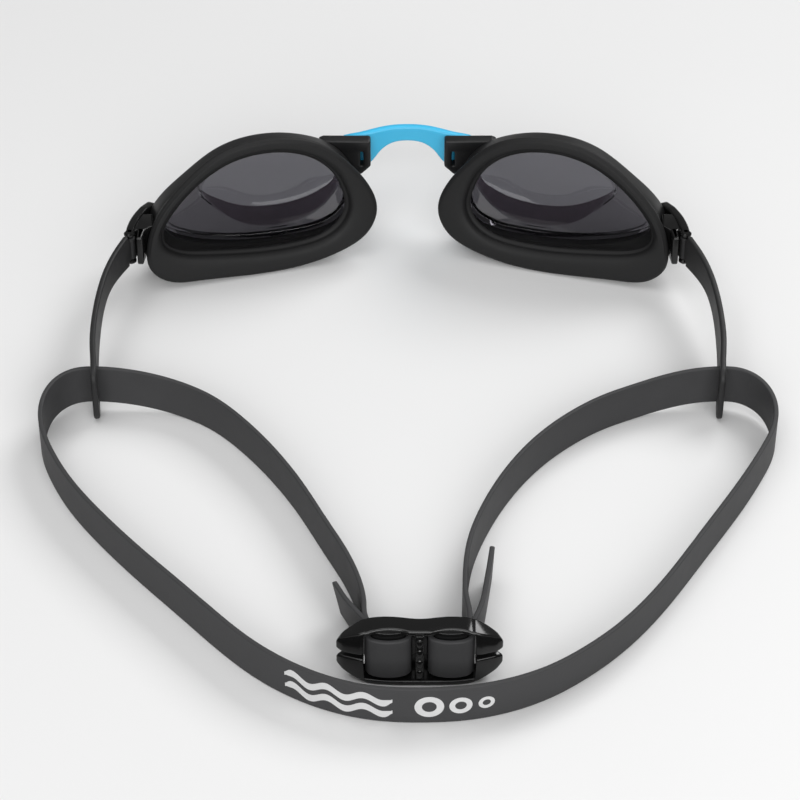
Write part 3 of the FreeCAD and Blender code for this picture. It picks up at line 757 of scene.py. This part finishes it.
def band(shell, plan, lower_edge, lean):
    """Flat band with rounded edges along a plan line, with the height of its lower edge and how far
    its upper edge leans to the right of its travel at each point."""
    along = np.gradient(plan, axis=0)
    along /= np.linalg.norm(along, axis=1)[:, None]
    side = np.stack([along[:, 1], -along[:, 0]], 1)
    profile = rectangle((0, STRAP_WIDTH / 2), (STRAP_THICK, STRAP_WIDTH), STRAP_EDGE, 6)
    rows = []
    for place, across, bottom, tilt in zip(plan, side, lower_edge, lean):
        rows.append([(*(place + across * (a + tilt * b / STRAP_WIDTH)), bottom + b) for a, b in profile])
    shell.rings(rows)


def outer_plan():
    return even(cubic(OUTER, 24), 460)


def outer_lean(plan):
    """How far the band's upper edge leans outward: most round the back, and a little inward on the left."""
    x, lean = np.array(OUTER_LEAN).T
    return np.interp(plan[:, 0], x, lean)


def sag(height, distance, reach):
    """Lower edge of the band: held at a height where it is threaded, just above the table further away."""
    return TABLE_GAP + (height - TABLE_GAP) * (1 - smooth_step(distance / reach))


def strap_outer():
    plan = outer_plan()
    distance = SLOT_Y - plan[:, 1] + np.abs(np.abs(plan[:, 0]) - SLOT_X) * SIDEWAYS_SHARE
    shell = Shell()
    band(shell, plan, sag(STRAP_Z, distance, OUTER_SAG), outer_lean(plan))
    return shell.make("strap_outer_band", [STRAP_RUBBER])


def strap_run(side):
    run = LEFT_RUN if side == LEFT else RIGHT_RUN
    tail = LEFT_TAIL if side == LEFT else RIGHT_TAIL
    start = [(side * 77.5, OUTER[0][1]), (side * 72.5, 11.1)]
    plan = even(cubic(start + run + lead_in(side) + wrap(side) + tail, 14), 360)
    from_slot = SLOT_X - np.abs(plan[:, 0])
    from_buckle = np.abs(plan[:, 1] - POST_Y)
    lower = sag(STRAP_Z, from_slot, SLOT_SAG) + sag(STRAP_Z, from_buckle, BUCKLE_SAG) - TABLE_GAP
    free = np.arange(len(plan)) > np.argmin(plan[:, 1])
    rise = smooth_step((plan[:, 1] - POST_Y - TAIL_LEAN_START) / TAIL_LEAN_REACH)
    lean = side * TAIL_LEAN[side] * rise * free
    shell = Shell()
    band(shell, plan, lower, lean)
    return shell.make(SIDE_NAMES[side] + "_strap_run", [STRAP_RUBBER])


# ================================================================ buckle
def buckle_stations():
    """Places along the buckle at which it has a section, closest together at the claws' roots and tips."""
    tip_start = BUCKLE_HALF_LENGTH - CLAW_ROUND
    half = np.concatenate([np.linspace(0, BUCKLE_FLAT, 30)[1:],
                           BUCKLE_FLAT + np.linspace(CLAW_RISE / 4, CLAW_RISE, 4),
                           np.linspace(BUCKLE_FLAT + 0.7, 14.6, 8),
                           np.linspace(14.9, tip_start, 8),
                           BUCKLE_HALF_LENGTH - CLAW_ROUND * (1 - np.sin(np.linspace(0.2, 1.55, 9)))])
    return np.concatenate([-half[::-1], [0], half])


def buckle_half(shell, upper):
    """One half of the buckle: a thin plate over the posts that thickens into a claw at each end."""
    front = cubic(BUCKLE_FRONT, 12)
    rear = cubic(BUCKLE_REAR, 12)
    rows = []
    for x in buckle_stations():
        far = abs(x)
        y_high = np.interp(x, front[:, 0], front[:, 1])
        y_low = np.interp(x, rear[:, 0], rear[:, 1])
        taper = np.clip((far - TAPER_START) / (BUCKLE_HALF_LENGTH - TAPER_START), 0, 1) ** TAPER_POWER
        claw = smooth_step((far - BUCKLE_FLAT) / CLAW_RISE)
        if upper:
            scallop = SCALLOP * max(0.0, 1 - ((far - POST_SPACING) / SCALLOP_HALF) ** 2)
            trimmed = max(y_low, TOP_PLATE_REAR + scallop)
            y_low = y_low + (trimmed - y_low) * (1 - smooth_step((far - TRIM_END) / TRIM_FADE))
            fall = TOP_FALL * (x / BUCKLE_FLAT) ** 2 * (far < BUCKLE_FLAT)
            z_high = BUCKLE_HEIGHT - fall - taper * (BUCKLE_HEIGHT - CLAW_TIP[1])
            z_low = (BUCKLE_HEIGHT - TOP_PLATE) * (1 - claw) + (CLAW_SLIT_Z + CLAW_SLIT / 2) * claw
        else:
            z_low = taper * CLAW_TIP[0]
            z_high = BOTTOM_PLATE * (1 - claw) + (CLAW_SLIT_Z - CLAW_SLIT / 2) * claw
        over = (far - BUCKLE_HALF_LENGTH + CLAW_ROUND) / CLAW_ROUND
        tip = math.sqrt(max(0.0, 1 - over ** 2)) if over > 0 else 1.0
        middle_y = (y_low + y_high) / 2
        middle_z = (z_low + z_high) / 2
        half_y = (y_high - y_low) / 2 * tip
        half_z = (z_high - z_low) / 2 * (TIP_SHARE + (1 - TIP_SHARE) * tip)
        radius = max(0.02, min(BUCKLE_EDGE, half_y * 0.9, half_z * 0.9))
        profile = rectangle((0, 0), (2 * half_y, 2 * half_z), radius, 4)
        rows.append([(BUCKLE_X + x, middle_y + a, middle_z + b) for a, b in profile])
    shell.rings(rows)


def buckle():
    shell = Shell()
    buckle_half(shell, True)
    buckle_half(shell, False)
    middle = lying(BUCKLE_HEIGHT / 2)
    for side in (LEFT, RIGHT):
        centre = np.array([BUCKLE_X + side * POST_SPACING, POST_Y])
        post = np.array(WRAP_HALF) - STRAP_THICK / 2 - WRAP_GAP
        turns = np.arange(48) * 2 * math.pi / 48
        outline = centre + np.stack([np.cos(turns), np.sin(turns)], 1) * post
        shell.plate([outline], POST_HEIGHT, POST_EDGE, middle)
    for half, rear, front in BARS:
        bar = rectangle((BUCKLE_X, (rear + front) / 2), (2 * half, front - rear), BAR_ROUND)
        shell.plate([bar], POST_HEIGHT, POST_EDGE, middle)
    for z in BUMP_Z:
        rows = []
        for t in np.linspace(0, math.pi, 9):
            across = max(0.02, BUMP_HALF_WIDTH * math.sin(t))
            rows.append([(BUCKLE_X + across * math.cos(a), BUMP_Y + BUMP_HALF_DEPTH * math.cos(t),
                          z + BUMP_STRETCH * across * math.sin(a)) for a in np.arange(16) * math.pi / 8])
        shell.rings(rows)
    return shell.make("buckle_body", [BUCKLE_PLASTIC])


# ================================================================ print on the strap
def on_band(plan):
    """Function that lays a flat shape (along, up, offset) on the rear face of the outer band."""
    length = np.concatenate([[0], np.cumsum(np.linalg.norm(np.diff(plan, axis=0), axis=1))])
    middle = length[np.argmin(np.hypot(plan[:, 0], plan[:, 1] - plan[:, 1].min()))]
    lean = outer_lean(plan)

    def place(p):
        s = p[:, 0] + middle
        x = np.interp(s, length, plan[:, 0])
        y = np.interp(s, length, plan[:, 1])
        dx = np.interp(s + 0.5, length, plan[:, 0]) - np.interp(s - 0.5, length, plan[:, 0])
        dy = np.interp(s + 0.5, length, plan[:, 1]) - np.interp(s - 0.5, length, plan[:, 1])
        size = np.hypot(dx, dy)
        off = STRAP_THICK / 2 + PRINT_GAP + p[:, 2] + np.interp(s, length, lean) * p[:, 1] / STRAP_WIDTH
        return np.stack([x + dy / size * off, y - dx / size * off, p[:, 1]], 1)
    return place


def strap_print():
    """Plain decoration: two wave lines, and three round bubbles that grow smaller."""
    shell = Shell()
    place = on_band(outer_plan())
    first, last = WAVE_SPAN
    along = np.linspace(first, last, 60)
    taper = np.clip(np.minimum(along - first, last - along) / WAVE_TAPER, 0.25, 1) ** 0.5
    half = WAVE_WIDTH / 2 * taper
    for height in WAVE_HEIGHTS:
        wave = height + WAVE_SWING * np.sin((along - first) / (last - first) * WAVE_COUNT * 2 * math.pi)
        outline = np.vstack([np.stack([along, wave - half], 1), np.stack([along, wave + half], 1)[::-1]])
        shell.plate([outline], PRINT_THICK, PRINT_EDGE, place, np.arange(-28, -4, 1.0), 1)
    turns = np.arange(40) * 2 * math.pi / 40
    circle = np.stack([np.cos(turns), np.sin(turns)], 1)
    for x, radius in BUBBLES:
        middle = np.array([x, BUBBLE_HEIGHT])
        loops = [middle + radius * circle, middle + radius * BUBBLE_HOLE * circle]
        shell.plate(loops, PRINT_THICK, PRINT_EDGE, place, np.arange(1, 21, 1.0), 1)
    return shell.make("strap_decoration", [PRINT_WHITE])


# ================================================================ studio
def aim(thing, target):
    """Turn a light so that it shines at a point."""
    direction = Vector(target) - thing.location
    thing.rotation_euler = direction.to_track_quat("-Z", "Y").to_euler()


def soft_box(name, place, size, power):
    light = bpy.data.lights.new(name, "AREA")
    light.shape = "RECTANGLE"
    light.size = size[0]
    light.size_y = size[1]
    light.energy = power
    lamp = bpy.data.objects.new(name, light)
    lamp.location = place
    bpy.context.scene.collection.objects.link(lamp)
    aim(lamp, (0, 0, 0))


def studio():
    floor_mesh = bpy.data.meshes.new("table_top")
    corners = [(x * FLOOR_REACH, y * FLOOR_REACH, 0) for x, y in ((-1, -1), (1, -1), (1, 1), (-1, 1))]
    floor_mesh.from_pydata(corners, [], [(0, 1, 2, 3)])
    floor = bpy.data.objects.new("table_top", floor_mesh)
    bpy.context.scene.collection.objects.link(floor)
    white = material("table_white", (0.80, 0.80, 0.80), 0.42, 60, colour_change=0.01, rough_change=0.04,
                     specular=0.35)
    floor_mesh.materials.append(white)
    world = bpy.data.worlds.new("studio")
    bpy.context.scene.world = world
    world.use_nodes = True
    world.node_tree.nodes["Background"].inputs["Color"].default_value = (1, 1, 1, 1)
    world.node_tree.nodes["Background"].inputs["Strength"].default_value = WORLD_STRENGTH
    for name, place, size, power in LIGHTS:
        soft_box(name, place, size, power)
    bpy.context.scene.view_settings.view_transform = "Standard"


def camera():
    lens_data = bpy.data.cameras.new("camera")
    lens_data.sensor_width = SENSOR
    lens_data.lens = FOCAL_LENGTH
    lens_data.clip_end = CAMERA_RANGE
    eye = bpy.data.objects.new("camera", lens_data)
    eye.location = [v * MM for v in (TARGET[0], TARGET[1] - CAMERA_DISTANCE * math.cos(CAMERA_ELEVATION),
                                     CAMERA_DISTANCE * math.sin(CAMERA_ELEVATION))]
    eye.rotation_euler = (math.pi / 2 - CAMERA_ELEVATION, 0, 0)
    bpy.context.scene.collection.objects.link(eye)
    bpy.context.scene.camera = eye


# ================================================================ assembly
def fit(piece, body, slot, *nodes):
    """Piece rides on a body and stands for CAD nodes; its finish slot is not used."""
    if body:
        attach(piece, body)
    if nodes:
        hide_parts(*nodes)


camera()
studio()
for side in (LEFT, RIGHT):
    name = SIDE_NAMES[side]
    fit(gasket(side), "goggle_front", "gasket_rubber", name + "_gasket")
    fit(frame_rim(side), "goggle_front", "frame_black", name + "_frame")
    fit(lens(side), "goggle_front", "lens_smoke", name + "_lens")
    fit(side_clip(side), "goggle_front", "gloss_black", name + "_side_clip")
    fit(arm(side), name + "_arm", "arm_rubber", name + "_arm")
    run = strap_run(side)
    fit(run, None, "strap_rubber")
    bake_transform(run)
fit(bridge(), "bridge", "bridge_blue", "nose_bridge")
fit(strap_outer(), "strap", "strap_rubber", "head_strap")
fit(strap_print(), "strap", "strap_rubber")
fit(buckle(), "buckle", "gloss_black", "rear_buckle")
